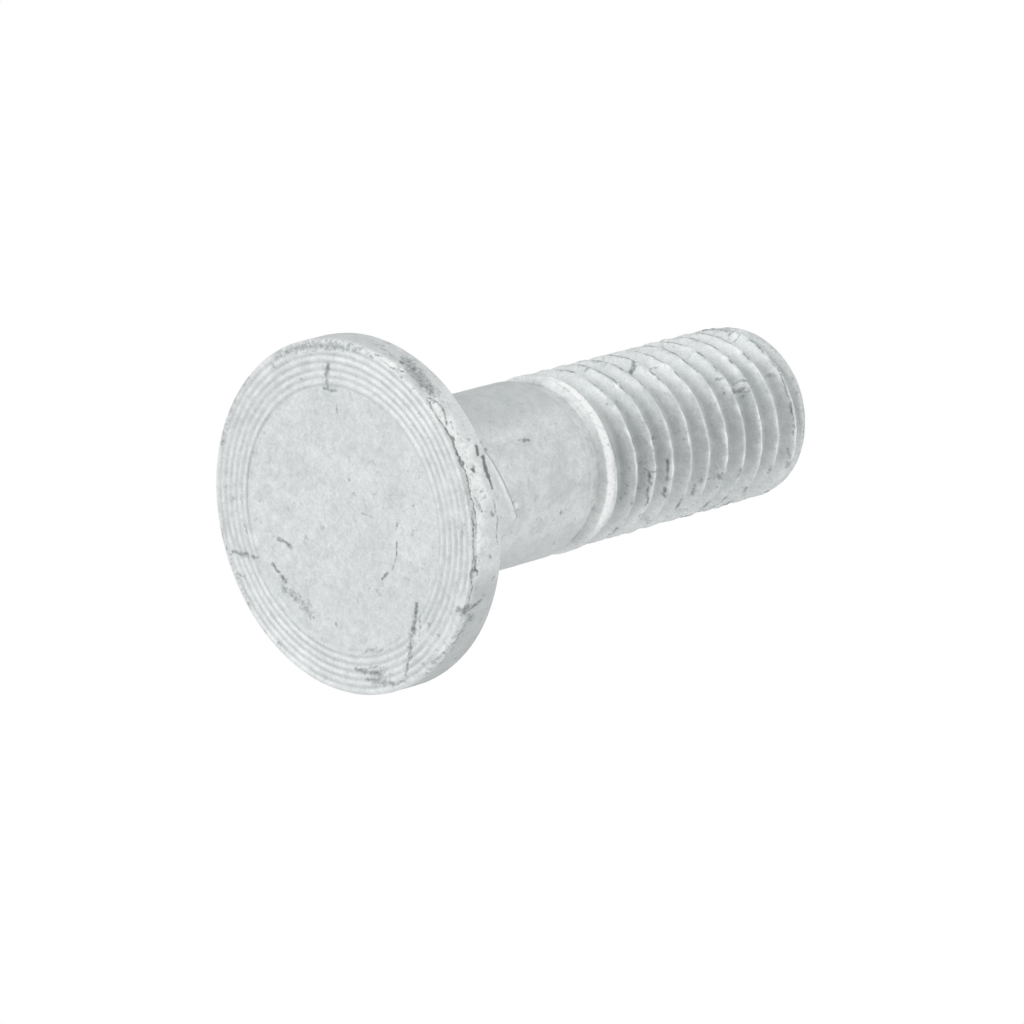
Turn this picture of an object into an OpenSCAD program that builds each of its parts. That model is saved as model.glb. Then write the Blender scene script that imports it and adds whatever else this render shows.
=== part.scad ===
// Countersunk bolt with a nib, M12 by 40, forged and thread-rolled in one piece, hot-dip galvanised.
// It stands on its head: the flat face is at z = 0 and the threaded end points up.

/* [Head] */
// Diameter of the head
head_d = 22.9; // [22.5:0.1:25.4]
// Height of the straight edge of the head, with its roundings
head_edge_h = 2.5; // [1.6:0.05:3.4]
// Included angle of the countersunk seat, in degrees
seat_angle = 90; // [80:1:100]
// Rounding of the edge round the face
face_edge_r = 0.25; // [0.2:0.05:0.7]
// Rounding between the straight edge and the seat
back_edge_r = 0.45; // [0.2:0.05:0.7]

/* [Face] */
// Diameter of the plain disc inside the rings
disc_d = 17; // [14:0.1:17]
// Depth of the disc below the edge of the face
disc_depth = 0.1; // [0.05:0.01:0.25]
// Number of grooves between the fine rings
ring_count = 5; // [3:1:5]
// Distance from one ring to the next
ring_pitch = 0.49; // [0.3:0.01:0.5]
// Depth of the grooves between the rings
ring_depth = 0.12; // [0.05:0.01:0.2]
// Distance from the disc's edge to the middle of the first groove
ring_lead = 0.49; // [0.3:0.01:0.52]

/* [Nib] */
// Distance from the face to the nib's tip on the shank
nib_end = 9.9; // [9.5:0.1:12]
// Radius at which the nib runs out on the seat, below its tip
nib_reach = 8.6; // [8:0.1:10]
// Angle from the nib's tip to the end of its long side, in degrees
nib_long_side = 50; // [35:1:70]
// Angle from the nib's tip to the end of its short side, in degrees
nib_short_side = 19; // [12:1:35]
// How hollow the nib's edges are drawn, where 1 is straight
nib_hollow = 1.35; // [1:0.05:1.6]

/* [Shank] */
// Diameter of the plain shank
shank_d = 11.8; // [11.4:0.1:12]
// Distance from the face to the end of the plain shank
shank_end = 16.3; // [14:0.1:17]
// Length of the taper behind the plain shank
taper_l = 1.7; // [1:0.1:2]
// Diameter of the reduced neck between the shank and the thread
neck_d = 10.8; // [10.4:0.1:11.2]
// Length of the neck at its smallest diameter
neck_l = 0.15; // [0.1:0.05:0.4]
// Length of the slope from the neck up to the thread's plain start
shoulder_l = 0.35; // [0.2:0.05:0.5]
// Fillet between the seat and the shank
seat_fillet_r = 0.6; // [0.3:0.1:1]

/* [Thread] */
// Outer diameter of the thread
thread_d = 11.9; // [11.5:0.1:12.3]
// Rounding at the root of the thread
root_round_r = 0.35; // [0.2:0.01:0.45]
// Distance from one turn to the next
thread_pitch = 1.75; // [1.5:0.05:2]
// Distance from the face to the first full crest
thread_start = 19.8; // [19.5:0.1:21.6]
// Whole length of the bolt, the head included
bolt_l = 39; // [35:0.2:60]
// Length of the rounded end
end_l = 1.9; // [1:0.1:2.2]
// Diameter of the flat at the threaded end
end_d = 9.5; // [8:0.1:10]

/* [Hidden] */
zinc = [0.80, 0.82, 0.82];
round_fn = 96;
arc_steps = 6;
eps = 0.01;

head_r = head_d / 2;
shank_r = shank_d / 2;
neck_r = neck_d / 2;
thread_r = thread_d / 2;
end_r = end_d / 2;
seat_half = seat_angle / 2;
seat_top = head_edge_h + (head_r - shank_r) / tan(seat_half);
neck_start = shank_end + taper_l;
neck_end = neck_start + neck_l;

// A 60 degree thread: the crest is an eighth of the pitch wide, and the flanks would meet at apex_r
flank = 30;
crest_w = thread_pitch / 8;
groove_half = (thread_pitch - crest_w) / 2;
apex_r = thread_r - groove_half / tan(flank);
root_centre_r = apex_r + root_round_r / sin(flank);
root_arc_steps = 4;
thread_h = thread_r - root_centre_r + root_round_r;
// The cutter reaches this far outside the thread, and this many turns past the end
over = 0.15;
over_turns = 0.6;
thread_steps = 30;
// Turns over which the groove comes to its full depth
run_out_turns = 0.8;
// The groove starts this far round from the +X side
first_angle = 6;
// Share of the ring pitch that a groove takes up at the face
ring_groove_share = 0.9;
// The nib's solid starts this far inside the shank, and this far inside the seat
nib_root = 1;
nib_seat_root = 0.6;
nib_steps = 24;

// Points of an arc about (cx, cy), from angle a0 to angle a1
function arc(cx, cy, r, a0, a1) =
    [for (i = [0:arc_steps]) let (a = a0 + (a1 - a0) * i / arc_steps) [cx + r * cos(a), cy + r * sin(a)]];

// Distance along the straight edge that the rounding into the seat takes up
back_cut = back_edge_r * tan((90 - seat_half) / 2);
// Distance along the shank that the fillet into the seat takes up
fillet_cut = seat_fillet_r * tan(seat_half / 2);

// Half section of the blank, from the face to the rounded end, with radius across and height up
function blank_outline() = concat(
    [[0, 0]],
    arc(head_r - face_edge_r, face_edge_r, face_edge_r, -90, 0),
    arc(head_r - back_edge_r, head_edge_h - back_cut, back_edge_r, 0, 90 - seat_half),
    arc(shank_r + seat_fillet_r, seat_top + fillet_cut, seat_fillet_r, 270 - seat_half, 180),
    [[shank_r, shank_end], [neck_r, neck_start], [neck_r, neck_end], [thread_r, neck_end + shoulder_l]],
    [for (i = [0:arc_steps]) let (a = 90 * i / arc_steps)
        [end_r + (thread_r - end_r) * cos(a), bolt_l - end_l + end_l * sin(a)]],
    [[0, bolt_l]]
);

// Section of the cutter at one place: the groove with its round root, and a little more outside the blank.
// A lifted root stops short of the cutter's outer side
function groove_section(lift) = concat(
    [[thread_r + over, groove_half + over * tan(flank)]],
    [for (i = [0:root_arc_steps]) let (a = (90 - flank) * (1 - 2 * i / root_arc_steps))
        [min(root_centre_r - root_round_r * cos(a) + lift, thread_r + over - 2 * eps), root_round_r * sin(a)]],
    [[thread_r + over, -groove_half - over * tan(flank)]]
);

// How far the groove is lifted at its start, where it is just clear of the blank
first_lift = thread_h + 2 * eps;

function lift_at(turn) = max(0, 1 - turn / run_out_turns) * first_lift;

// The helical groove: one section for each step, turned and raised along a right-hand helix
module thread_groove() {
    first_z = thread_start - thread_pitch / 2;
    turns = (bolt_l - first_z) / thread_pitch + over_turns;
    steps = ceil(turns * thread_steps);
    n = len(groove_section(0));
    points = [for (i = [0:steps])
        let (t = i / thread_steps, a = 360 * t + first_angle, z = first_z + thread_pitch * a / 360)
        for (p = groove_section(lift_at(t))) [p[0] * cos(a), p[0] * sin(a), z + p[1]]];
    sides = [for (i = [0:steps - 1]) for (j = [0:n - 1]) let (k = (j + 1) % n)
        [i * n + j, i * n + k, (i + 1) * n + k, (i + 1) * n + j]];
    caps = [[for (j = [n - 1:-1:0]) j], [for (j = [0:n - 1]) steps * n + j]];
    polyhedron(points = points, faces = concat(sides, caps), convexity = 20);
}

// Fine rings round the face: V-grooves between the disc and the edge
module face_relief() {
    translate([0, 0, -eps]) cylinder(d = disc_d, h = disc_depth + eps, $fn = round_fn);
    half = ring_pitch * ring_groove_share / 2;
    for (i = [0:ring_count - 1]) {
        r = disc_d / 2 + ring_lead + ring_pitch * i;
        rotate_extrude($fn = round_fn)
            polygon([[r - half, -eps], [r + half, -eps], [r, ring_depth]]);
    }
}

// The nib: the corner between the seat and the shank, drawn out to a tip on the +X side. Its edge on the
// shank falls from the tip to the corner, over a long side and a short one
module nib() {
    seat_slope = tan(seat_half);
    reach_z = head_edge_h + (head_r - nib_reach) / seat_slope;
    slope = (nib_reach - shank_r) / (nib_end - reach_z);
    points = [for (i = [0:nib_steps])
        let (a = -nib_long_side + (nib_long_side + nib_short_side) * i / nib_steps,
            share = a < 0 ? -a / nib_long_side : a / nib_short_side,
            edge_z = seat_top + (nib_end - seat_top) * pow(1 - min(1, share), nib_hollow),
            seat_z = (head_r - shank_r + head_edge_h * seat_slope - edge_z * slope) / (seat_slope - slope),
            foot_z = seat_z - nib_seat_root,
            foot_r = shank_r + (edge_z - foot_z) * slope)
        for (p = [[shank_r - nib_root, foot_z], [foot_r, foot_z], [shank_r - nib_root, edge_z + nib_root / slope]])
            [p[0] * cos(a), p[0] * sin(a), p[1]]];
    sides = [for (i = [0:nib_steps - 1]) for (j = [0:2]) let (k = (j + 1) % 3)
        [i * 3 + j, i * 3 + k, (i + 1) * 3 + k, (i + 1) * 3 + j]];
    polyhedron(points = points, faces = concat(sides, [[2, 1, 0], [for (j = [0:2]) nib_steps * 3 + j]]));
}

module bolt() {
    color(zinc) difference() {
        union() {
            rotate_extrude($fn = round_fn) polygon(blank_outline());
            nib();
        }
        face_relief();
        thread_groove();
    }
}

bolt();
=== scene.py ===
# Countersunk bolt with a nib, hot-dip galvanised, standing on its head, seen from below its face
from math import atan2, cos, exp, floor, hypot, pi, radians, sin, sqrt, tan

import bmesh
import bpy
from mathutils import Matrix, Quaternion, Vector, noise


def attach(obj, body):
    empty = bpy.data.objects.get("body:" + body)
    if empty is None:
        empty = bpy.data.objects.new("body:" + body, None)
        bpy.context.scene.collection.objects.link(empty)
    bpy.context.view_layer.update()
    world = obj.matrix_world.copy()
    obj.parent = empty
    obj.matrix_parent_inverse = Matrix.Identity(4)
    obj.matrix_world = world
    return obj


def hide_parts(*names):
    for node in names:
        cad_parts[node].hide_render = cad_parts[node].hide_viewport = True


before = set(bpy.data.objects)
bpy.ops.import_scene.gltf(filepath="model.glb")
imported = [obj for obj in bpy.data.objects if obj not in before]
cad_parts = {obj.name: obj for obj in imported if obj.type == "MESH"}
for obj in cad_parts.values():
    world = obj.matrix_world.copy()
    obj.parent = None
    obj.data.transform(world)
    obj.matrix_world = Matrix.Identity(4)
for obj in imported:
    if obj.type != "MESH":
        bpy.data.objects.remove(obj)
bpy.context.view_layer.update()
mm = 0.001


def smooth(low, high, value):  # 0 at low, 1 at high, with soft ends; low may be the larger
    share = min(1, max(0, (value - low) / (high - low)))
    return share * share * (3 - 2 * share)


def between(window, value):  # 1 inside a window and 0 outside it; it holds start, full, fading and end
    start, full, fading, end = window
    return smooth(start, full, value) * smooth(end, fading, value)


def grain(x, y, z, size, seed=0):  # even noise from -1 to 1, with patches of about size mm
    return noise.noise(Vector((x / size + seed, y / size - seed, z / size + 0.37 * seed)))


def along(path, at):  # the value at a place on a path, and 0 beyond its ends
    for (start, low), (end, high) in zip(path, path[1:]):
        if start <= at < end:
            return low + (high - low) * (at - start) / (end - start)
    return 0


# The bolt: sizes in mm, the same as in the frame
bolt = {
    "headR": 11.45,
    "edgeH": 2.5,
    "faceEdgeR": 0.25,
    "backEdgeR": 0.45,
    "discR": 8.5,
    "discDepth": 0.1,
    "ringStart": 8.99,  # middle of the first groove
    "ringPitch": 0.49,
    "rings": 5,
    "ringDepth": 0.08,
    "shankR": 5.9,
    "filletR": 0.6,
    "shankEnd": 16.3,
    "neckR": 5.4,
    "neckStart": 18.0,
    "joinZ": 18.1,  # the turned half and the threaded half meet here
    "shoulder": 0.42,  # length of the step up to the thread
    "threadR": 5.95,
    "pitch": 1.75,
    "firstCrest": 19.8,
    "crestW": 0.22,
    "rootR": 0.42,
    "runOut": 0.8,  # turns over which the groove gets its depth
    "length": 39.0,
    "endL": 1.9,
    "endR": 4.75,
    "drift": [(18.1, 0), (19.2, 0.42), (21, 0.3), (24, 0.27), (29, 0.13), (33, 0.08), (35.5, 0.22),
              (37.2, 0.18), (38, 0), (40, 0)],  # height, and how far the crests there stand nearer the face
    "columns": 240,
    "towardsCamera": -28,  # degrees round the axis of the side that the camera faces
}
seatTop = bolt["edgeH"] + bolt["headR"] - bolt["shankR"]  # where the seat meets the shank, without the fillet

# The nib: a drawn-out corner between the seat and the shank, with a long skirt on one side
nib = {
    "angle": 0,
    "rise": 1.85,  # how far its point stands past the seat's own corner
    "longSide": 50,  # degrees from the point to the skirt's far end
    "shortSide": 19,
    "hollow": 1.5,  # how hollow its edges are drawn, where 1 is straight
    "foot": 0.2,  # how far its far ends stand past the corner
    "slope": 0.593,  # mm outwards for each mm towards the face
}

# Zinc that froze on the edge of the face: degrees from the camera's side, and mm past the edge of the face,
# over the rounding and down the side
bead = {
    "seam": [(-33, 0.5), (-28, 0.22), (-22, 0.12), (-18.8, 0.3), (-16.8, 0.2), (-15.1, 0.44), (-12, 0.28),
             (-6.7, 0.33), (-2.3, 0.38), (2.9, 0.29), (7.4, 0.37), (13, 0.38), (18, 0.28), (23, 0.27),
             (28, 0.16), (32, 0.02)],
    "top": [(-33, 0.65), (-20, 1.2), (-14, 1.6), (-4, 1.75), (2, 1.9), (9, 1.6), (20, 1.1), (32, 0.4)],
    "knots": [(-15.1, 0.44, 0.2), (-6.7, 0.33, 0.2), (28.8, 0.18, 0.36)],  # with their size in mm
    "height": 0.1,
    "seamWidth": 0.07,
    "seamDepth": 0.05,
    "wideSeam": (-18, -15, -7, -3),  # window of degrees in which the seam is nearly twice as wide
}

# Wear on the face, and a painted dark reflection along its left edge: path in mm across and down the picture
# from the middle, width in mm, depth of tone
faceMarks = [
    ([(-10.7, 0.3), (-9.6, 0.65), (-8.6, 1.05)], 0.28, 0.75),
    ([(-10.9, 1.7), (-10.3, 1.95)], 0.24, 0.75),
    ([(-7.4, 1.7), (-7, 2.3)], 0.16, 0.9),
    ([(-6.85, 2.7), (-6.65, 3.0)], 0.34, 0.9),
    ([(-6.2, 0.15), (-5.75, 0.6), (-5.3, 1.0)], 0.26, 0.8),
    ([(4.2, 2.35), (3.7, 3.4), (3.15, 3.95)], 0.12, 0.9),
    ([(2.7, 4.1), (2.1, 4.35)], 0.15, 1.0),
    ([(4.5, 6.4), (4.2, 7.0), (3.65, 8.1)], 0.26, 0.95),
    ([(3.7, 7.6), (2.8, 9.3), (2, 10.5)], 0.16, 0.8),
    ([(4.6, 7.2), (4.1, 8.3)], 0.14, 0.6),
    ([(3.95, 7.2), (3.1, 8.7), (2.7, 9.6)], 0.5, 0.6),
    ([(-1.3, 8.6), (0.6, 8.7)], 0.1, 0.6),
    ([(-2.1, 9.5), (-0.3, 9.7)], 0.16, 0.7),
    ([(-1.7, 10.25), (-0.5, 10.5)], 0.2, 0.7),
    ([(1.4, -8.2), (2.4, -7.75)], 0.18, 0.8),
    ([(2, -9.2), (1.85, -8.6)], 0.2, 0.5),
    ([(1.9, -10.7), (3.4, -10.3)], 0.22, 0.6),
    ([(-2.7, -10.6), (-2.1, -10.2)], 0.22, 0.6),
    ([(0.4, -10.9), (1.4, -10.8)], 0.15, 0.5),
    ([(8.1, 7.4), (8.7, 7.9), (9.4, 8.1)], 0.5, 0.8),
    ([(7, 8.9), (7.8, 8.6)], 0.24, 0.5),
    ([(9.1, -8.4), (9.8, -7.6), (10.5, -6.9)], 0.6, 0.6),
    ([(4.7, 1.2), (4.4, 1.6)], 0.2, 0.6),
    ([(4.95, 1.5), (5, 1.9)], 0.14, 0.5),
    ([(1.8, 0.1), (2.1, 0.2)], 0.2, 0.6),
    ([(2.5, 0.3), (2.55, 0.5)], 0.14, 0.6),
    ([(-3.15, 6.35), (-3.05, 6.5)], 0.22, 0.7),
    ([(-5.05, 4.5), (-4.9, 5.0)], 0.16, 0.5),
    ([(-5.8, 3.4), (-5.4, 3.9)], 0.3, 0.3),
    ([(6.4, 0.9), (6.7, 1.0)], 0.14, 0.4),
    ([(-1.94, -11.0), (0.85, -11.1), (3.24, -10.75), (5.16, -10.0)], 0.6, 0.55),
    ([(0.9, -10.7), (2.1, -10.6)], 0.25, 0.6),
    ([(2.4, -10.66), (4.04, -10.43), (5.6, -9.9)], 0.22, 0.55),
    ([(5.87, -9.6), (7.03, -8.85), (7.95, -8.1), (8.6, -7.45)], 0.12, 0.6),
    ([(2.46, -9.5), (2.1, -9.02)], 0.34, 0.8),
    ([(1.95, -8.65), (1.87, -8.2)], 0.3, 0.75),
    ([(2.15, -6.81), (2.03, -6.51)], 0.2, 0.6),
    ([(-2.39, -7.82), (-2.5, -6.75)], 0.3, 0.3),
    ([(4.56, -6.12), (4.81, -5.97)], 0.2, 0.3),
    ([(-8.99, -1.16), (-8.85, -0.36)], 0.16, 0.7),
    ([(-6.83, 3.42), (-5.9, 4.4), (-5.06, 5.49)], 0.7, 0.55),
    ([(-2.33, 9.57), (-1.2, 9.9), (-0.22, 10.24)], 0.35, 0.75),
    ([(-1.2, 10.5), (0.5, 10.8)], 0.4, 0.65),
    ([(-0.81, 8.51), (0.96, 8.81)], 0.4, 0.5),
    ([(0.41, 11.0), (1.7, 10.95)], 0.25, 0.6),
    ([(10.32, 2.16), (10.16, 2.98)], 0.2, 0.55),
    ([(8.4, 1.59), (7.88, 2.14)], 0.2, 0.4),
    ([(-9.72, 5.8), (-9.35, 6.52)], 0.26, 0.45),
    ([(5.63, 8.6), (5.7, 8.75)], 0.16, 0.6),
    ([(5.26, 9.43), (5.3, 9.6)], 0.14, 0.6),
    ([(10.58, 2.28), (10.06, 2.74)], 0.14, 0.6),
    ([(8.69, 5.58), (7.97, 6.1)], 0.14, 0.4),
    ([(7.26, 3.16), (7.0, 3.5)], 0.26, 0.3),
    ([(-9.1, -6.4), (-7.9, -8.1), (-6.4, -9.3), (-4.9, -10.2)], 0.3, 0.55),
    # painted dark reflection along the rounding of the face's left edge
    ([(-11.2, -1.5), (-11.0, 1.6), (-10.3, 4.5)], 0.2, 0.5),
]

# Paler crust on the face, and a painted highlight at the disc's edge, in the same terms
facePale = [
    # painted highlight on the disc's raised edge at the left
    ([(-8.72, -0.44), (-8.31, 0.18)], 0.3, 0.9),
    ([(8.3, 7.1), (7.5, 7.9), (6.8, 8.7), (5.2, 9.8)], 0.9, 0.55),
    ([(2.6, 9.4), (4.1, 8.4), (4.6, 7.7)], 0.4, 0.4),
]

# Wear on the head's side, with painted shadow in the slit behind the rim and painted shade along the back
# edge and the lower edge: path in mm past the edge of the face and degrees round from the camera's side
sideMarks = [
    ([(1.5, -47), (1.2, -40), (1.0, -36.2), (1.2, -33)], 1.0, 0.75),
    ([(0.9, -43), (1.0, -37)], 0.4, 0.6),
    ([(1.06, -47.4), (1.0, -46.4)], 0.2, 1.3),
    ([(0.5, -30.6), (1.0, -28.2), (0.95, -24.3), (0.6, -19.7)], 0.12, 1.0),
    ([(1.49, -63), (1.02, -51.5), (1.3, -46)], 0.6, 0.45),
    ([(1.1, -3.9), (1.12, -3.5)], 0.28, 1.2),
    ([(1.0, 9), (1.05, 9.3)], 0.15, 1.0),
    ([(1.5, 24), (1.55, 24.4)], 0.2, 0.8),
    # painted shadow in the slit behind the rim, between the rim and the nib
    ([(2.08, -10.6), (1.95, -8.3)], 0.2, 1.3),
    ([(2.24, -6.8), (2.15, -3), (2.2, -0.6)], 0.26, 1.3),
    ([(2.2, -1), (2.26, 3.2)], 0.16, 1.1),
    ([(1.93, 10.3), (2.0, 11.2)], 0.3, 0.7),
    # painted shade along the back edge of the head's side
    ([(2.15, 7), (2.29, 13.2), (2.15, 17), (2.2, 21)], 0.13, 0.75),
    ([(2.06, 31.5), (2.0, 32.5)], 0.25, 0.7),
    ([(1.97, 47), (1.9, 48)], 0.2, 0.5),
    ([(0, 30.3), (0.12, 32), (0.2, 33.1), (0.1, 36), (0.2, 39)], 0.12, 0.85),
    ([(-0.05, 40.9), (0.2, 39.5), (0.35, 41)], 0.42, 0.85),
    ([(0.35, 40.5), (0.9, 40), (1.3, 38.8)], 0.24, 0.8),
    ([(0.5, 43), (0.9, 45.3)], 0.42, 0.7),
    ([(0.5, 47), (0.35, 53.4), (0.15, 56.5), (-0.1, 60), (-0.2, 66)], 0.22, 0.65),
    # painted shade in a broad band along the edge on the lower side
    ([(0.5, 46), (0.4, 50), (0.3, 58), (0.1, 72)], 0.7, 0.42),
]

# White crust left on the edge above the bead, in the same terms
sidePale = [
    ([(0.15, -65), (0.2, -58), (0.2, -54)], 0.2, 0.8),
    ([(0.18, -54.7), (0.3, -49.4)], 0.32, 1.4),
    ([(0.25, -48), (0.36, -45.7), (0.43, -43.2)], 0.4, 1.8),
    ([(0.65, -29), (0.6, -24), (0.45, -20)], 0.32, 1.5),
]

# Wear on the shank and the thread, with painted shade in the fillet's crease and a painted shadow line along
# the last groove: path in mm from the face and degrees round from the camera's side
shankMarks = [
    ([(11.5, -18.5), (12.3, -17)], 0.2, 0.9),
    ([(14.15, 33), (14.3, 35)], 0.24, 0.8),
    ([(14.7, 58), (14.8, 60)], 0.3, 0.6),
    ([(12.4, 25), (12.5, 25.5)], 0.14, 0.5),
    ([(14.1, 4), (14.2, 5)], 0.14, 0.5),
    ([(14.8, 2), (14.9, 3)], 0.12, 0.5),
    ([(13.1, -36), (13.3, -38)], 0.2, 0.4),
    # painted shade along the fillet's crease
    ([(8.71, -42), (8.5, -35), (8.38, -23.9), (8.37, -16.6)], 0.13, 0.75),
    ([(22.78, 24), (22.86, 34), (23.0, 47)], 0.1, 1.0),
    ([(24.5, 18), (24.5, 35), (24.65, 44)], 0.1, 1.0),
    ([(20.95, 26.4), (20.9, 38.6), (20.65, 44.3)], 0.1, 0.6),
    ([(28.25, 36.7), (28.1, 47.7), (28.1, 56.4)], 0.1, 0.75),
    ([(30.15, 38), (29.9, 43.7), (29.6, 47)], 0.12, 0.9),
    ([(25.55, -56), (25.9, -54)], 0.3, 0.85),
    ([(22.4, -65), (22.7, -63)], 0.26, 0.8),
    ([(25.7, -54), (26.2, -57)], 0.28, 0.9),
    ([(28, -62), (28.3, -57)], 0.24, 0.8),
    ([(33.3, -66), (33.6, -64)], 0.24, 0.7),
    ([(32.7, -16), (33.1, -14)], 0.4, 0.8),
    ([(31.4, -26), (31.6, -24)], 0.26, 0.6),
    ([(30.3, 40), (30.5, 43)], 0.2, 0.7),
    ([(33.9, 25), (34, 31)], 0.2, 0.8),
    ([(36.7, -64), (37.1, -62)], 0.4, 0.7),
    ([(36.4, -20), (36.6, -17)], 0.24, 0.6),
    ([(24.6, 66), (24.8, 70)], 0.3, 0.5),
    ([(22.2, 74), (22.5, 77)], 0.3, 0.5),
    # painted shadow line along the last groove before the end
    ([(36.75, -40), (36.84, -22), (36.88, 2.7), (36.92, 30.2), (37.1, 49.5)], 0.08, 0.95),
    ([(36.73, -49), (36.77, -37.5)], 0.14, 0.8),
    ([(32.56, -15), (32.6, -14.4)], 0.2, 1.2),
]

# Small lumps of zinc on the thread: mm from the face, degrees round, radius, height
zincLumps = [(30.75, 41, 0.42, 0.35), (32.95, -15, 0.5, 0.22), (22.9, 20, 0.32, 0.15),
             (9.75, 21, 0.3, 0.1), (36.7, -60, 0.4, 0.08), (27.2, -50, 0.35, 0.12)]

# The coat of zinc and the shade and highlights painted on it: relief in mm, depth of tone from 0 to 1, and
# windows of degrees from the camera's side
coat = {
    "faceTo": 0.3,  # heights in mm between which each part of the coat is drawn
    "sideTo": 2.6,
    "shankFrom": 7.0,
    "threadFrom": 19.2,
    "threadTo": 38.7,
    "swell": 0.018,
    "swellSize": 2.4,
    "ripple": 0.009,
    "rippleSize": 0.8,
    # painted shade on the upper and lower sides of the head
    "headUpper": (-105, -85, -40, -31),
    "headUpperShade": 0.35,
    "headLower": (26, 36, 95, 120),
    "headLowerShade": 0.55,
    "neckCloud": 0.22,
    # painted shade on the neck's upper and lower sides
    "neckUpper": (-150, -110, -44, -20),
    "neckUpperShade": 0.5,
    "neckLower": (38, 60, 110, 150),
    "neckLowerShade": 0.3,
    "neckShadeLines": [(18.08, 0.8), (17.86, 0.5)],  # height in mm and depth of tone of each painted shade line
    "stepHighlight": (18.4, 18.5, 19.0, 19.15),  # windows of mm from the face of the painted highlight on the step and on the taper
    "taperHighlight": (16.9, 17.4, 18.4, 18.5),
    "highlightSide": (-80, -50, 40, 75),
    # painted highlight on the crests in this window, painted shade on the crests outside it
    "litCrests": (-75, -45, 25, 50),
    # painted shade on the crest tops in this window
    "shadedCrestTops": (-88, -75, -36, -24),
    "smearedSide": (34, 62, 95, 125),
    "smearCut": 0.14,  # mm off the crests where the thread is smeared, and mm of zinc in its roots
    "smearFill": 0.2,
    # painted shade in the roots is deeper in this window near the thread's start
    "deepSide": (-30, 10, 110, 150),
    "endSide": (-60, -30, 80, 120),
}


def threadRadius(turnShare, z):  # radius of the rolled thread at a share of a turn and a height in mm
    b = bolt
    blank = b["neckR"] + (b["threadR"] - b["neckR"]) * smooth(b["joinZ"], b["joinZ"] + b["shoulder"], z)
    if z > b["length"] - b["endL"]:
        up = min(1, (z - b["length"] + b["endL"]) / b["endL"])
        blank = b["endR"] + (b["threadR"] - b["endR"]) * sqrt(max(0, 1 - up * up))
    firstGroove = b["firstCrest"] - b["pitch"] / 2
    count = floor((z - firstGroove) / b["pitch"] - turnShare + 0.5)
    turn = turnShare + count
    if turn < 0:
        return blank
    off = z - firstGroove - b["pitch"] * turn
    if off < 0:
        off *= 0.22 * between((0.4, 0.7, 1.1, 1.5), turn) - 1  # the first bite is narrower towards the face
    apex = b["threadR"] - (b["pitch"] - b["crestW"]) / 2 / tan(radians(30))
    rootCentre = apex + b["rootR"] / sin(radians(30))
    if off < b["rootR"] * cos(radians(30)):
        groove = rootCentre - sqrt(b["rootR"] ** 2 - off * off)
    else:
        groove = apex + off / tan(radians(30))
    fade = max(0, 1 - turn / b["runOut"]) + smooth(37.7, 38.1, z)  # the last groove stops at the end
    groove += fade * (b["threadR"] - rootCentre + b["rootR"])
    soft = 0.07  # the zinc rounds the crest
    gap = (groove - blank) / soft
    return blank - soft * 0.5 * (sqrt(gap * gap + 1) - gap) if gap > -6 else groove


def faceHeight(r):  # height of the face's relief above its outermost plane, in mm
    b = bolt
    if r < b["discR"] + 0.12:
        return b["discDepth"] * smooth(b["discR"] + 0.12, b["discR"] - 0.04, r)
    if r < b["ringStart"] - b["ringPitch"] / 2:
        return 0
    return b["ringDepth"] * (0.5 + 0.5 * cos(2 * pi * (r - b["ringStart"]) / b["ringPitch"]))


def turnedOutline():  # radius and height from the face's middle to the reduced neck
    b = bolt
    ringEnd = b["ringStart"] + b["ringPitch"] * (b["rings"] - 0.5)
    out = [((b["discR"] - 0.1) * i / 28, b["discDepth"]) for i in range(28)]
    out += [(b["discR"] - 0.1 + i * (ringEnd - b["discR"] + 0.1) / 46, 0) for i in range(47)]
    out = [(r, faceHeight(r)) for r, z in out]
    for i in range(0, 6):
        a = radians(-90 + 90 * i / 5)
        out.append((b["headR"] - b["faceEdgeR"] * (1 - cos(a)), b["faceEdgeR"] * (1 + sin(a))))
    cut = b["backEdgeR"] * tan(radians(22.5))
    top = b["edgeH"] - cut
    out += [(b["headR"], b["faceEdgeR"] + (top - b["faceEdgeR"]) * i / 9) for i in range(1, 9)]
    for i in range(5):
        a = radians(45 * i / 4)
        out.append((b["headR"] - b["backEdgeR"] * (1 - cos(a)), top + b["backEdgeR"] * sin(a)))
    fillet = b["filletR"] * tan(radians(22.5))
    startR, startZ = out[-1]
    endR = b["shankR"] + b["filletR"] * (1 - cos(radians(45)))
    endZ = seatTop + fillet - b["filletR"] * sin(radians(45))
    out += [(startR + (endR - startR) * i / 16, startZ + (endZ - startZ) * i / 16) for i in range(1, 16)]
    for i in range(5):
        a = radians(225 - 45 * i / 4)
        out.append((b["shankR"] + b["filletR"] * (1 + cos(a)), seatTop + fillet + b["filletR"] * sin(a)))
    startZ = out[-1][1]
    out += [(b["shankR"], startZ + (b["shankEnd"] - startZ) * i / 34) for i in range(1, 34)]
    for i in range(15):
        z = b["shankEnd"] + (b["joinZ"] - b["shankEnd"]) * i / 14
        out.append((b["shankR"] + (b["neckR"] - b["shankR"]) * smooth(b["shankEnd"], b["neckStart"], z), z))
    return out


def spinChain(bm, outline, rise=0):
    verts = [bm.verts.new((r * mm, 0, z * mm)) for r, z in outline]
    edges = [bm.edges.new(pair) for pair in zip(verts, verts[1:])]
    steps = bolt["columns"]
    bmesh.ops.spin(bm, geom=verts + edges, cent=(0, 0, 0), axis=(0, 0, 1), dvec=(0, 0, rise * mm / steps),
                   angle=2 * pi, steps=steps, use_merge=rise == 0, use_duplicate=False)
    bmesh.ops.remove_doubles(bm, verts=bm.verts, dist=0.002 * mm)


def makeHeadAndShank():
    bm = bmesh.new()
    spinChain(bm, turnedOutline())
    return bm


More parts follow.
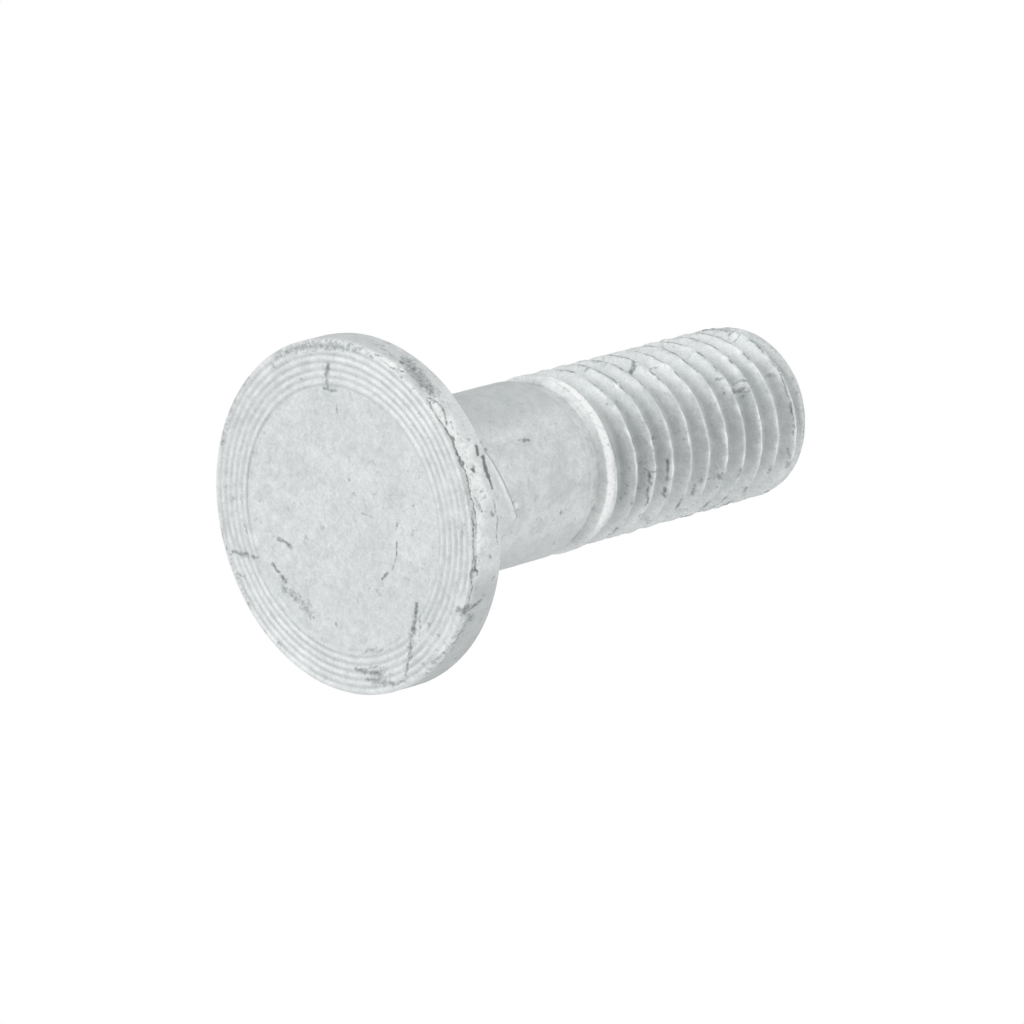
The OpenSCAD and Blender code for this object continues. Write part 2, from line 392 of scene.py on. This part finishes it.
def makeThread():
    b = bolt
    bm = bmesh.new()
    half = [0.07, 0.21, 0.35, 0.49, 0.63, 0.74, 0.81]  # mm from the middle of the groove, closer at the crest
    rows = [-b["pitch"] / 2] + [-off for off in reversed(half)] + half
    firstGroove = b["firstCrest"] - b["pitch"] / 2
    heights = [firstGroove + b["pitch"] * turn + off for turn in range(-2, 13) for off in rows]
    spinChain(bm, [(b["threadR"], z) for z in heights], b["pitch"])
    for z, outer in ((b["joinZ"], False), (b["length"], True)):
        bmesh.ops.bisect_plane(bm, geom=bm.verts[:] + bm.edges[:] + bm.faces[:], dist=0.0005 * mm,
                               plane_co=(0, 0, z * mm), plane_no=(0, 0, 1),
                               clear_outer=outer, clear_inner=not outer)
    for v in bm.verts:
        share = (atan2(v.co.y, v.co.x) / (2 * pi)) % 1
        r = threadRadius(share, v.co.z / mm)
        v.co.xy = (r * mm * cos(2 * pi * share), r * mm * sin(2 * pi * share))
        v.co.z -= along(b["drift"], v.co.z / mm) * mm  # the rolled crests stand a little nearer the face
    return bm


def rimOf(bm, z):  # open edges at one height
    flat = [e for e in bm.edges if e.is_boundary]
    return [e for e in flat if all(abs(v.co.z - z * mm) < 0.01 * mm for v in e.verts)]


def joinMeshes(target, source):
    part = bpy.data.meshes.new("part")
    source.to_mesh(part)
    source.free()
    target.from_mesh(part)
    bpy.data.meshes.remove(part)


def closeEnd(bm):  # the flat end, drawn in from the open rim to a pole
    rim = rimOf(bm, bolt["length"])
    for share in (0.75, 0.5, 0.25, 0):
        grown = bmesh.ops.extrude_edge_only(bm, edges=rim)["geom"]
        verts = [g for g in grown if isinstance(g, bmesh.types.BMVert)]
        inner = set(verts)
        rim = [g for g in grown if isinstance(g, bmesh.types.BMEdge) and inner.issuperset(g.verts)]
        step = share / (share + 0.25)
        bmesh.ops.scale(bm, vec=(step, step, 1), verts=verts)
    bmesh.ops.pointmerge(bm, verts=verts, merge_co=(0, 0, bolt["length"] * mm))


def distanceTo(path, x, y):
    best = 99
    for (ax, ay), (bx, by) in zip(path, path[1:]):
        dx, dy = bx - ax, by - ay
        share = min(1, max(0, ((x - ax) * dx + (y - ay) * dy) / (dx * dx + dy * dy)))
        best = min(best, hypot(x - ax - share * dx, y - ay - share * dy))
    return best


def readyMarks(marks, stretch=1):  # each path in mm, with the box that it can reach
    ready = []
    for path, width, depth in marks:
        points = [(px, py * stretch) for px, py in path]
        across, down = zip(*points)
        reach = width * 1.2 + 0.12
        box = (min(across) - reach, max(across) + reach, min(down) - reach, max(down) + reach)
        ready.append((points, box, width, depth))
    return ready


def markTone(ready, x, y):
    tone = 0
    for points, box, width, depth in ready:
        if box[0] < x < box[1] and box[2] < y < box[3]:
            wobble = 0.1 * grain(x, y, 0, 0.6, 41) + 0.05 * grain(x, y, 0, 0.2, 43)
            away = distanceTo(points, x + wobble, y - wobble)
            tone = max(tone, depth * smooth(width * 1.2, 0, away))
    return tone


def placeOf(v):  # height, radius and degrees from the camera's side, and mm past the edge of the face
    x, y, z = (c / mm for c in v.co)
    r = hypot(x, y)
    angle = (atan2(y, x) * 180 / pi - bolt["towardsCamera"] + 180) % 360 - 180
    return x, y, z, r, angle, r - bolt["headR"] + z


def beadOn(x, y, z, angle, past):  # how much of the bead and of its dark seam lies here
    first, last = bead["seam"][0][0], bead["seam"][-1][0]
    if not first < angle < last:
        return 0, 0
    ends = between((first, first + 5, last - 5, last), angle)
    jagged = 0.09 * grain(angle / 1.7, 0, 0, 1, 3) + 0.06 * grain(angle / 0.6, 0, 0, 1, 4)
    line = along(bead["seam"], angle) + jagged
    top = along(bead["top"], angle) + 0.5 * grain(x, y, z, 0.7, 6)
    body = ends * smooth(line, line + 0.12, past) * smooth(top + 0.25, top - 0.45, past)
    width = bead["seamWidth"] * (1 + 0.9 * between(bead["wideSeam"], angle))
    seam = smooth(1.8, 0.3, abs(past - line) / width) * smooth(-0.5, -0.1, grain(x, y, z, 1.5, 13))
    beside = 0.05 + 0.2 * smooth(1, 6, angle)  # a second, finer seam runs on the side of the face
    twin = smooth(1.8, 0.3, abs(past - line + beside - 0.5 * jagged) / bead["seamWidth"])
    seam = max(seam, 0.85 * twin * smooth(-0.15, 0.15, grain(x, y, z, 1.6, 17)))
    for middle, level, size in bead["knots"]:
        near = hypot(past - level, bolt["headR"] * radians(angle - middle)) / size
        seam = max(seam, between((0.3, 0.7, 0.95, 1.25), near))
    return body, seam * ends


# Each of the next functions takes a place and gives its tones: how much it is stained, pale and shaded, where
# pale holds painted highlights too and shaded is mostly painted shade
def faceTones(place, marks):  # the rings with painted shade in their grooves and at the disc's edge and painted highlights on their ridges, and the wear on the face
    x, y, z, r, angle, past = place
    b = bolt
    if r > b["discR"] + 0.2:
        groove = faceHeight(r) / b["ringDepth"]
    else:
        groove = smooth(0.16, 0.03, abs(r - b["discR"] - 0.03))
    # painted shade in the grooves of the rings and at the disc's edge
    shade = groove ** 2 * (0.28 + 0.35 * grain(x, y, z, 1.2, 53)) * smooth(-0.2, -0.4, past)
    # painted highlight on the ridges between the grooves
    ring = (1 - groove) * 0.5 * smooth(b["discR"], b["discR"] + 0.4, r)
    across, down = r * cos(radians(angle)), r * sin(radians(angle))
    pale = max(ring * (0.6 + grain(x, y, z, 0.7, 57)), markTone(marks["facePale"], across, down))
    return markTone(marks["face"], across, down), pale, shade


def edgeCoat(place, marks):  # the bead, the crust and the wear on the head's side, and painted shade on its upper and lower sides, after their relief in mm
    x, y, z, r, angle, past = place
    body, seam = beadOn(x, y, z, angle, past)
    around = bolt["headR"] * radians(angle)
    crust = 0.5 + 0.9 * grain(x, y, z, 0.7, 7) + 0.9 * grain(x, y, z, 0.3, 9)
    body = max(body, markTone(marks["sidePale"], past, around))
    relief = bead["height"] * body * crust - bead["seamDepth"] * seam
    # painted shade on the upper and lower sides of the head
    upper = coat["headUpperShade"] * between(coat["headUpper"], angle)
    lower = coat["headLowerShade"] * between(coat["headLower"], angle)
    shade = smooth(0.1, 0.6, past) * max(upper, lower)
    pitted = body * 0.5 * smooth(-0.2, -0.5, crust - 0.5)
    stain = max(seam, pitted, markTone(marks["side"], past, around))
    return relief, (stain, body * (0.8 + 0.3 * crust), shade)


def shankTones(place, marks):  # painted shade in the nib's crease and a painted highlight on its skirt, the clouded neck with painted shade on its sides, painted shade lines and a painted highlight at the step to the thread
    x, y, z, r, angle, past = place
    stain = markTone(marks["shank"], z, bolt["shankR"] * radians(angle))
    # painted highlight on the step up to the thread and, fainter, on the taper before it, on the side facing
    # the camera
    highlightBand = between(coat["stepHighlight"], z) + 0.4 * between(coat["taperHighlight"], z)
    pale = 1.4 * highlightBand * between(coat["highlightSide"], angle)
    # painted shade lines at the step from the neck to the thread
    shade = max(tone * smooth(0.08, 0.02, abs(z - height)) for height, tone in coat["neckShadeLines"])
    corner = nibCorner(angle + bolt["towardsCamera"])
    if corner:
        # painted shade in the nib's crease, with a little stain, and a painted highlight on the skirt below
        # it
        crease = smooth(0.14, 0.03, abs(z - corner)) * smooth(-0.05, 0.2, corner - seatTop)
        skirt = between((-1.1, -0.4, -0.18, -0.06), z - corner) * smooth(0.02, 0.35, corner - seatTop)
        stain, pale, shade = max(stain, 0.12 * crease), max(pale, 0.9 * skirt), max(shade, 0.9 * crease)
    if z < bolt["neckStart"] + 0.2:
        cloud = smooth(-0.1, 0.35, grain(x, y, z, 1.9, 71) + 0.5 * grain(x, y, z, 0.8, 73))
        # painted shade on the neck's upper and lower sides, with its clouds
        upper = coat["neckUpperShade"] * between(coat["neckUpper"], angle)
        lower = coat["neckLowerShade"] * between(coat["neckLower"], angle)
        shade = max(shade, coat["neckCloud"] * cloud, upper, lower)
    return stain, pale, shade


def lumpCoat(place):  # the small lumps, after how far they stand out in mm
    x, y, z, r, angle, past = place
    relief = stain = pale = 0
    for height, middle, size, rise in zincLumps:
        near = hypot(z - height, bolt["shankR"] * radians(angle - middle)) / size
        if near < 1.6:
            relief += rise * exp(-near * near * 1.8) * (1 + 0.5 * grain(x, y, z, 0.3, 21))
            pale = max(pale, 0.8 * exp(-near * near * 2))
            stain = max(stain, 0.7 * exp(-((near - 1.15) / 0.2) ** 2))
    return relief, (stain, pale, 0)


def threadCoat(place, out):  # the crests with painted highlights on the lit side and painted shade elsewhere, the smeared lower side and painted shade in the roots, after their shift in mm
    x, y, z, r, angle, past = place
    outer = bolt["threadR"]
    crest = smooth(outer - 0.28, outer - 0.02, r)
    root = smooth(outer - 0.15, outer - 0.85, r)
    smear = between(coat["smearedSide"], angle) * (0.7 + 0.6 * grain(x, y, z, 1.6, 35))
    uneven = 0.05 * grain(x, y, z, 1.3, 31) + 0.04 * grain(x, y, z, 0.4, 33)
    shift = out * (crest * (uneven - coat["smearCut"] * smear) + coat["smearFill"] * root * smear)
    shift += Vector((0, 0, 0.05 * crest * grain(x, y, z, 0.7, 37)))
    # painted highlight on the crests in the lit window
    lit = between(coat["litCrests"], angle)
    # painted shade: a thin dark line on the crest tops of the upper side
    cut = smooth(outer - 0.03, outer - 0.01, r) * between(coat["shadedCrestTops"], angle)
    cut *= smooth(-0.4, 0.0, grain(x, y, z, 1.4, 61))
    # painted shade on the crests outside the lit window, broken in patches
    unlitCrestShade = crest * (0.3 + 0.45 * smooth(0.1, 0.45, grain(x, y, z, 1.1, 47))) * (1 - lit)
    end = smooth(37.8, 38.1, z) * between(coat["endSide"], angle)
    ragged = grain(x, y, z, 0.9, 39)
    # painted shade in the roots: deeper near the start on the lower side, lighter on the upper side and where
    # smeared
    deep = 0.34 + 0.3 * ragged + 0.4 * smooth(27, 21, z) * between(coat["deepSide"], angle)
    shade = root * deep * (1 - 0.6 * smear) * (1 - 0.7 * smooth(-25, -50, angle))
    return shift, (max(0.8 * cut, unlitCrestShade, 0.4 * end), crest * lit * smooth(-0.15, 0.35, ragged), shade)


def strongest(tones, more):
    return tuple(max(pair) for pair in zip(tones, more))


def coatWithZinc(bm):  # the bead, the lumps and the uneven coat, and where it is stained, pale or shaded, with painted highlights among the pale and painted shade among the shaded
    b = bolt
    layers = [bm.verts.layers.float.new(name) for name in ("stain", "pale", "shade")]
    headMm, shankMm = b["headR"] * pi / 180, b["shankR"] * pi / 180  # mm round for each degree
    marks = {
        "face": readyMarks(faceMarks),
        "facePale": readyMarks(facePale),
        "side": readyMarks(sideMarks, headMm),
        "sidePale": readyMarks(sidePale, headMm),
        "shank": readyMarks(shankMarks, shankMm),
    }
    bm.normal_update()
    moves = []
    for v in bm.verts:
        place = placeOf(v)
        x, y, z, r, angle, past = place
        out = Vector((x, y, 0)).normalized() if r > 0.01 else Vector((0, 0, 0))
        swell = coat["swell"] * grain(x, y, z, coat["swellSize"])
        shift = v.normal * (swell + coat["ripple"] * grain(x, y, z, coat["rippleSize"], 5))
        tones = faceTones(place, marks) if z < coat["faceTo"] else (0, 0, 0)
        if z < coat["sideTo"] and past > -0.8:
            relief, more = edgeCoat(place, marks)
            shift += v.normal * relief
            tones = strongest(tones, more)
        if z > coat["shankFrom"] and r > b["shankR"] - 1.2:
            tones = strongest(tones, shankTones(place, marks))
            relief, more = lumpCoat(place)
            shift += out * relief
            tones = strongest(tones, more)
        if coat["threadFrom"] < z < coat["threadTo"] and r > 4.5:
            move, more = threadCoat(place, out)
            shift += move
            tones = strongest(tones, more)
        moves.append((v, shift * mm, tones))
    for v, shift, tones in moves:
        v.co += shift
        for layer, tone in zip(layers, tones):
            v[layer] = tone


def markNear(v, wide):  # the skin is finer where a mark or the bead needs it
    x, y, z, r, angle, past = placeOf(v)
    if z < 2.5 and past > -0.6 and -68 < angle < 70:
        return angle < 36 or markTone(wide["side"], past, bolt["headR"] * radians(angle)) > 0
    corner = nibCorner(angle + bolt["towardsCamera"])
    if corner and r < 7 and z > coat["shankFrom"] and abs(z - corner) < 0.45:
        return True
    across, down = r * cos(radians(angle)), r * sin(radians(angle))
    return z < coat["faceTo"] and markTone(wide["face"], across, down) > 0


def refineMarks(bm):
    margin = 0.25
    face = [(path, width + margin, 1) for path, width, depth in faceMarks]
    side = [(path, width + margin, 1) for path, width, depth in sideMarks]
    wide = {"face": readyMarks(face), "side": readyMarks(side, bolt["headR"] * pi / 180)}
    near = {v for v in bm.verts if markNear(v, wide)}
    for turn in range(2):
        edges = [e for e in bm.edges if near.issuperset(e.verts) and e.calc_length() > 0.11 * mm]
        cut = bmesh.ops.subdivide_edges(bm, edges=edges, cuts=1, use_grid_fill=True)
        near.update(g for g in cut["geom_inner"] if isinstance(g, bmesh.types.BMVert))


def nibCorner(angle):  # height in mm at which the nib meets the shank, at an angle round the axis
    away = (angle - nib["angle"] + 180) % 360 - 180
    share = -away / nib["longSide"] if away < 0 else away / nib["shortSide"]
    if share >= 1:
        return None
    foot = nib["foot"] * smooth(1, 0.75, share)
    return seatTop + foot + (nib["rise"] - foot) * (1 - share) ** nib["hollow"]


def raiseNib(bm):
    b = bolt
    for v in bm.verts:
        x, y, z = (c / mm for c in v.co)
        r = hypot(x, y)
        if not 4.5 < z < 11 or r < 1:
            continue
        corner = nibCorner(atan2(y, x) * 180 / pi)
        if corner and z < corner:
            want = b["shankR"] + (corner - z) * nib["slope"]
            if want > r:
                v.co.xy = v.co.xy * (want / r)


def makeBolt():
    bm = makeHeadAndShank()
    joinMeshes(bm, makeThread())
    rims = dict.fromkeys(v for e in rimOf(bm, bolt["joinZ"]) for v in e.verts)  # each once, in order
    bmesh.ops.remove_doubles(bm, verts=list(rims), dist=0.068 * mm)  # a little under half a column
    print("open edges at the join:", len(rimOf(bm, bolt["joinZ"])))
    closeEnd(bm)
    refineMarks(bm)
    raiseNib(bm)
    coatWithZinc(bm)
    bmesh.ops.triangulate(bm, faces=[f for f in bm.faces if len(f.verts) > 4])
    bmesh.ops.recalc_face_normals(bm, faces=bm.faces)
    odd = sum(not e.is_manifold for e in bm.edges)
    print("bolt: faces", len(bm.faces), "open or odd edges", odd)
    print("bolt: volume in mm3", round(bm.calc_volume() / mm ** 3, 1))
    for f in bm.faces:
        f.smooth = True
    mesh = bpy.data.meshes.new("zincCoatedBolt")
    bm.to_mesh(mesh)
    bm.free()
    piece = bpy.data.objects.new("zincCoatedBolt", mesh)
    bpy.context.scene.collection.objects.link(piece)
    return piece


def linear(hexColour):
    parts = [int(hexColour[i:i + 2], 16) / 255 for i in (1, 3, 5)]
    return [c / 12.92 if c <= 0.04045 else ((c + 0.055) / 1.055) ** 2.4 for c in parts] + [1]


def addNode(tree, kind, settings=None, **inputs):
    node = tree.nodes.new("ShaderNode" + kind)
    for name, value in (settings or {}).items():
        setattr(node, name, value)
    for name, value in inputs.items():  # i and a number, or the socket's name
        numbered = name[0] == "i" and name[1:].isdigit()
        socket = node.inputs[int(name[1:]) if numbered else name.replace("_", " ")]
        if isinstance(value, bpy.types.NodeSocket):
            tree.links.new(value, socket)
        else:
            socket.default_value = value
    return node


def newMaterial(name):
    material = bpy.data.materials.new(name)
    material.use_nodes = True
    material.node_tree.nodes.clear()
    return material, material.node_tree


# Hot-dip zinc on forged steel: matte and pale, faintly clouded, with a fine dry grain and dark bare specks,
# and the painted shade and highlights of the shade and pale attributes
zinc = {
    "pale": "#eaedee",
    "coolCloud": "#c3c8c9",
    "warmCloud": "#c4c8c7",
    # the shade colour is that of the painted shade and the neck's clouds
    "shade": "#9fa5a5",
    "stain": "#767d7c",
    # the bead colour serves the white crust and the painted highlights
    "bead": "#f8faf9",
    "metallic": 0.6,
    "roughness": 0.5,
    "cloudShare": 0.25,  # how much of the tint comes from the clouds, the mottle and the dry grain
    "mottleShare": 0.42,
    "dryShare": 0.33,
    "cloudSize": 3.5,  # mm
    "hueSize": 5.0,
    "dirtSize": 4.0,
    "mottleSize": 0.55,
    "grainSize": 0.16,
    "speckSize": 0.7,
    "wearSize": 0.28,
    "pitSize": 0.3,  # holes in the paler crust
}


def makeZinc():
    material, tree = newMaterial("hotDipZinc")
    place = addNode(tree, "TexCoord").outputs["Object"]
    inMm = addNode(tree, "Mapping", Vector=place, Scale=(1000, 1000, 1000)).outputs[0]

    def noiseOf(size, detail, roughness=0.5, swirl=0.0):
        return addNode(tree, "TexNoise", Vector=inMm, Scale=1 / size, Detail=detail, Roughness=roughness,
                       Distortion=swirl).outputs["Fac"]

    def ramp(value, low, high):
        return addNode(tree, "MapRange", Value=value, From_Min=low, From_Max=high).outputs["Result"]

    def mix(factor, a, b):
        return addNode(tree, "Mix", {"data_type": "RGBA"}, i0=factor, i6=a, i7=b).outputs[2]

    def attribute(name):
        return addNode(tree, "Attribute", {"attribute_name": name}).outputs["Fac"]

    def maths(kind, a, b, clamp=True):
        return addNode(tree, "Math", {"operation": kind, "use_clamp": clamp}, i0=a, i1=b).outputs[0]

    def times(a, b):
        return maths("MULTIPLY", a, b)

    def plus(a, b):
        return maths("ADD", a, b)

    clouds = ramp(noiseOf(zinc["cloudSize"], 6, 0.6, 1.2), 0.38, 0.62)
    mottle = ramp(noiseOf(zinc["mottleSize"], 5, 0.7, 0.6), 0.36, 0.64)
    dry = ramp(noiseOf(zinc["grainSize"], 2), 0.3, 0.7)
    fine = plus(times(mottle, zinc["mottleShare"]), times(dry, zinc["dryShare"]))
    tint = plus(times(clouds, zinc["cloudShare"]), fine)
    hue = ramp(noiseOf(zinc["hueSize"], 3), 0.4, 0.6)
    cloud = mix(hue, linear(zinc["coolCloud"]), linear(zinc["warmCloud"]))
    colour = mix(tint, cloud, linear(zinc["pale"]))
    # painted shade: the shade attribute, which also holds the neck's clouds, darkens the colour towards the
    # shade colour
    colour = mix(times(attribute("shade"), 0.8), colour, linear(zinc["shade"]))
    # the pale attribute holds the white crust and painted highlights alike, mixed towards the bead colour
    crust = times(attribute("pale"), plus(times(mottle, 0.6), 0.4))
    colour = mix(crust, colour, linear(zinc["bead"]))
    speckNoise = noiseOf(zinc["speckSize"], 6, 0.65)
    dirty = plus(times(ramp(noiseOf(zinc["dirtSize"], 2), 0.4, 0.6), 0.4), 0.12)
    specks = times(ramp(speckNoise, 0.6, 0.7), dirty)
    ragged = times(ramp(noiseOf(zinc["wearSize"], 4, 0.7), 0.25, 0.75), 0.9)
    worn = maths("ADD", attribute("stain"), ragged, clamp=False)  # the marks break up at their edges
    wear = ramp(worn, 0.75, 1.5)
    pits = times(ramp(noiseOf(zinc["pitSize"], 3, 0.6), 0.58, 0.68), times(attribute("pale"), 0.3))
    dark = maths("MAXIMUM", maths("MAXIMUM", specks, pits), times(wear, 0.9))
    colour = mix(dark, colour, linear(zinc["stain"]))
    rough = plus(times(dark, 0.18), plus(times(mottle, 0.08), zinc["roughness"]))
    height = plus(times(noiseOf(zinc["grainSize"], 3), 0.35), times(speckNoise, 0.65))
    bump = addNode(tree, "Bump", Height=height, Strength=0.5, Distance=0.06 * mm).outputs[0]
    shader = addNode(tree, "BsdfPrincipled", Base_Color=colour, Metallic=zinc["metallic"], Roughness=rough,
                     Normal=bump)
    addNode(tree, "OutputMaterial", Surface=shader.outputs[0])
    return material


# The studio: a pale floor that shows only from above, white all round, and a grey flag under the camera
studio = {
    "floorR": 4.0,
    "floor": "#f4f5f5",
    "surround": 1.0,  # light on matt surfaces; the eye and the metal see white
    "nearFlag": (82.9, -46.9, 0.24, 0.3, 0.4),  # azimuth, elevation, radius and distance in m, light
    "farFlag": (241.5, 44.9, 0.26, 0.3, 0.55),
    "key": (-20, -62, 0.6, 0.35, 0.7),  # azimuth, elevation, distance and size in m, power in watts
}

# The camera: where the photograph was taken from
view = {"azimuth": 61.489, "elevation": -44.880, "roll": 74.657, "distance": 395.64,
        "aim": (-0.849, 3.281, 17.078), "lens": 212.991}


def directionOf(azimuth, elevation):
    a, e = radians(azimuth), radians(elevation)
    return Vector((sin(a) * cos(e), -cos(a) * cos(e), sin(e)))


def makeWorld():
    world = bpy.data.worlds.new("studio")
    bpy.context.scene.world = world
    world.use_nodes = True
    tree = world.node_tree
    tree.nodes.clear()
    path = addNode(tree, "LightPath")
    seen = path.outputs["Is Camera Ray"]
    for ray in ("Is Glossy Ray", "Is Transmission Ray"):
        seen = addNode(tree, "Math", {"operation": "MAXIMUM"}, i0=seen, i1=path.outputs[ray]).outputs[0]
    strength = addNode(tree, "MapRange", Value=seen, To_Min=studio["surround"], To_Max=1.0)
    back = addNode(tree, "Background", Color=(1, 1, 1, 1), Strength=strength.outputs[0])
    addNode(tree, "OutputWorld", Surface=back.outputs[0])


def makeFloor():  # its hole ends under the head, so the camera below sees the face
    bm = bmesh.new()
    bmesh.ops.create_circle(bm, cap_ends=False, segments=128, radius=(bolt["headR"] - 0.2) * mm)
    grown = bmesh.ops.extrude_edge_only(bm, edges=bm.edges[:])["geom"]
    outer = [g for g in grown if isinstance(g, bmesh.types.BMVert)]
    size = studio["floorR"] / (bolt["headR"] * mm)
    bmesh.ops.scale(bm, vec=(size, size, 1), verts=outer)
    bmesh.ops.recalc_face_normals(bm, faces=bm.faces)
    if bm.faces[:][0].normal.z < 0:
        bmesh.ops.reverse_faces(bm, faces=bm.faces[:])
    mesh = bpy.data.meshes.new("floor")
    bm.to_mesh(mesh)
    bm.free()
    material, tree = newMaterial("paleFloor")
    path = addNode(tree, "LightPath")
    under = addNode(tree, "NewGeometry").outputs["Backfacing"]
    above = {"operation": "SUBTRACT", "use_clamp": True}
    shown = addNode(tree, "Math", above, i0=path.outputs["Is Camera Ray"], i1=under)
    clear = addNode(tree, "BsdfTransparent", Color=(1, 1, 1, 1))
    matt = addNode(tree, "BsdfDiffuse", Color=linear(studio["floor"]))
    surface = addNode(tree, "MixShader", i0=shown.outputs[0], i1=clear.outputs[0], i2=matt.outputs[0])
    addNode(tree, "OutputMaterial", Surface=surface.outputs[0])
    mesh.materials.append(material)
    floorPiece = bpy.data.objects.new("floor", mesh)
    bpy.context.scene.collection.objects.link(floorPiece)
    return floorPiece


def makeFlag(name, azimuth, elevation, radius, away, glow):
    bm = bmesh.new()
    bmesh.ops.create_circle(bm, cap_ends=True, segments=48, radius=radius)
    mesh = bpy.data.meshes.new(name)
    towards = directionOf(azimuth, elevation)
    turn = towards.to_track_quat("Z", "Y").to_matrix().to_4x4()
    bmesh.ops.transform(bm, matrix=Matrix.Translation(towards * away) @ turn, verts=bm.verts)
    bm.to_mesh(mesh)
    bm.free()
    material, tree = newMaterial(name)
    light = addNode(tree, "Emission", Color=(1, 1, 1, 1), Strength=glow)
    addNode(tree, "OutputMaterial", Surface=light.outputs[0])
    mesh.materials.append(material)
    flag = bpy.data.objects.new(name, mesh)
    flag.visible_camera = False
    bpy.context.scene.collection.objects.link(flag)
    return flag


def makeLamp(name, azimuth, elevation, away, size, power):
    light = bpy.data.lights.new(name, "AREA")
    light.shape = "DISK"
    light.size = size
    light.energy = power
    lamp = bpy.data.objects.new(name, light)
    aim = Vector((0, 0, 0.018))
    direction = directionOf(azimuth, elevation)
    lamp.visible_camera = False
    lamp.location = aim + direction * away
    lamp.rotation_mode = "QUATERNION"
    lamp.rotation_quaternion = direction.to_track_quat("Z", "Y")
    bpy.context.scene.collection.objects.link(lamp)


def makeCamera():
    camera = bpy.data.objects.new("camera", bpy.data.cameras.new("camera"))
    back = directionOf(view["azimuth"], view["elevation"])
    camera.rotation_mode = "QUATERNION"
    camera.rotation_quaternion = back.to_track_quat("Z", "Y") @ Quaternion((0, 0, 1), radians(view["roll"]))
    camera.location = Vector(view["aim"]) * mm + back * view["distance"] * mm
    camera.data.lens = view["lens"]
    camera.data.sensor_width = 36
    camera.data.clip_start = 0.01
    bpy.context.scene.collection.objects.link(camera)
    bpy.context.scene.camera = camera


piece = makeBolt()
piece.data.materials.append(makeZinc())
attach(piece, "root")
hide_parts("bolt")
print("bolt made")
makeWorld()
makeFloor()
makeFlag("nearFlag", *studio["nearFlag"])
makeFlag("farFlag", *studio["farFlag"])
makeLamp("softbox", *studio["key"])
makeCamera()
bpy.context.scene.view_settings.view_transform = "Standard"
print("studio made")
